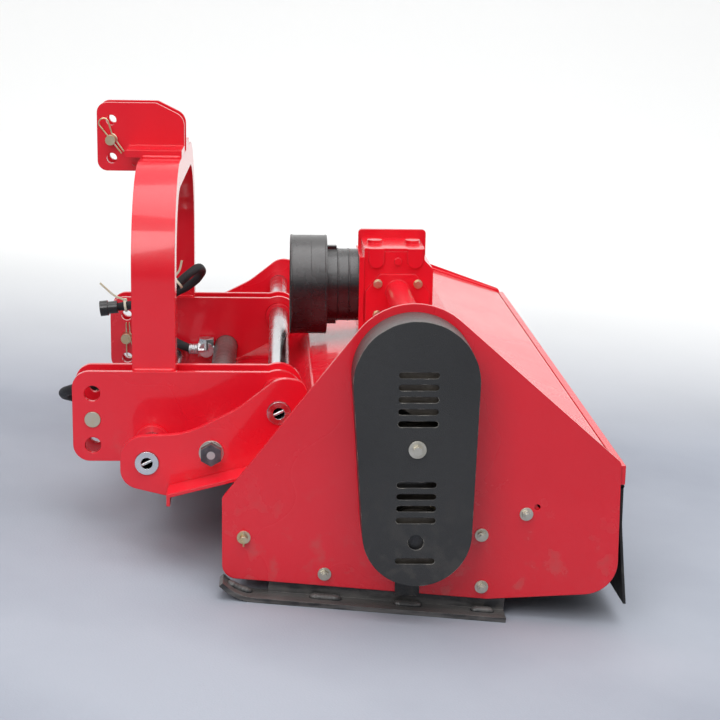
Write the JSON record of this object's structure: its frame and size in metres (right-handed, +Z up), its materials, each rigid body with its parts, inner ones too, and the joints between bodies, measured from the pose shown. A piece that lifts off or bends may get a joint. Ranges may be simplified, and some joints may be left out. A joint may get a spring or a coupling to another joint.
{
  "type": "flail mower",
  "caption": "Side-shift flail mower for a three-point hitch: red bent-sheet deck on skids, belt-driven rotor with swinging flails, gearbox, roller and rubber flap.",
  "frame": {"origin": "On the ground, under the middle of the machine's box.", "axes": "+X to the machine's left (belt side), +Y to the rear, +Z up, with the skids flat on the ground."},
  "size_m": [1.6366, 0.9987, 0.7279],
  "materials": {
    "red_paint": "gloss",
    "black_paint": "satin",
    "black_plastic": "matte",
    "black_rubber": "matte",
    "chrome": "polished",
    "steel": "satin",
    "zinc": "yellow passivated",
    "cast_iron": "forged",
    "pale_plastic": "matte"
  },
  "bodies": {
    "deck": {"left_side_plate": "red_paint", "right_side_plate": "red_paint", "hood": "red_paint", "front_apron": "red_paint", "left_arm": "red_paint", "right_arm": "red_paint", "front_shift_bar": "chrome", "rear_shift_bar": "chrome", "bar_pins": "zinc", "left_skid": "black_paint", "right_skid": "black_paint", "plate_bolts": "zinc", "belt_cover": "black_paint", "cover_bolt": "zinc", "drive_belts": "black_rubber", "gearbox_housing": "red_paint", "gearbox_cap": "red_paint", "gearbox_stand": "red_paint", "cross_tube": "red_paint", "flange_bolts": "zinc", "shaft_bearings": "steel", "shield_bell": "black_plastic", "shield_collar": "black_plastic", "rotor_bearings": "steel", "bearing_bolts": "zinc", "roller_brackets": "red_paint", "clamp_bar": "red_paint", "flap_rod": "zinc", "ram_rod": "chrome", "ram_anchor": "zinc"},
    "hitch": {"left_outer_clevis": "red_paint", "left_inner_clevis": "red_paint", "right_inner_clevis": "red_paint", "right_outer_clevis": "red_paint", "arch": "red_paint", "top_link_plates": "red_paint", "slide_bushes": "red_paint", "lower_pins": "steel", "top_link_pin": "steel", "hitch_clips": "zinc", "ram_barrel": "black_paint", "ram_gland": "steel", "hydraulic_fittings": "steel", "hose_caps": "black_plastic", "right_hose": "black_rubber", "left_hose": "black_rubber", "hose_ties": "pale_plastic"},
    "input": {"input_shaft": "steel", "input_gear": "steel"},
    "cross": {"cross_shaft": "steel", "output_gear": "steel", "drive_pulley": "steel"},
    "rotor": {"rotor": "black_paint", "rotor_pulley": "steel", "flail_pins": "zinc"},
    "front_flails": {"front_flail_row": "cast_iron"},
    "rear_flails": {"rear_flail_row": "cast_iron"},
    "roller": {"rear_roller": "black_paint"},
    "front_curtain": {"front_flaps": "black_paint"},
    "rear_curtain": {"rear_flap": "black_rubber"}
  },
  "joints": [
    {"name": "side_shift", "type": "slide", "parent": "deck", "child": "hitch", "axis": [1, 0, 0], "range_m": [-0.3, 0.1]},
    {"name": "rotor_spin", "type": "hinge", "parent": "deck", "child": "rotor", "pos_m": [-0.02825, 0.13081, 0.13988], "axis": [1, 0, 0], "continuous": true},
    {"name": "cross_shaft_spin", "type": "hinge", "parent": "deck", "child": "cross", "pos_m": [-0.02825, 0.12716, 0.39955], "axis": [1, 0, 0], "continuous": true},
    {"name": "input_spin", "type": "hinge", "parent": "deck", "child": "input", "pos_m": [-0.02825, 0.05046, 0.39284], "axis": [0, 0.9962, 0.0872], "continuous": true},
    {"name": "rear_flail_swing", "type": "hinge", "parent": "rotor", "child": "rear_flails", "pos_m": [-0.02825, 0.19257, 0.14529], "axis": [1, 0, 0], "range_deg": [-5, 120]},
    {"name": "front_flail_swing", "type": "hinge", "parent": "rotor", "child": "front_flails", "pos_m": [-0.02825, 0.06904, 0.13448], "axis": [1, 0, 0], "range_deg": [-120, 5]},
    {"name": "roller_spin", "type": "hinge", "parent": "deck", "child": "roller", "pos_m": [-0.02825, 0.39042, 0.09835], "axis": [1, 0, 0], "continuous": true},
    {"name": "front_curtain_swing", "type": "hinge", "parent": "deck", "child": "front_curtain", "pos_m": [-0.02825, -0.13967, 0.09915], "axis": [1, 0, 0], "range_deg": [-5, 60]},
    {"name": "rear_curtain_swing", "type": "hinge", "parent": "deck", "child": "rear_curtain", "pos_m": [-0.02825, 0.46714, 0.23677], "axis": [1, 0, 0], "range_deg": [-8, 55], "stiffness_Nm_per_rad": 8}
  ],
  "couplings": [
    {"joint": "cross_shaft_spin", "follows": "rotor_spin", "ratio": 0.8},
    {"joint": "input_spin", "follows": "rotor_spin", "ratio": 0.4}
  ]
}
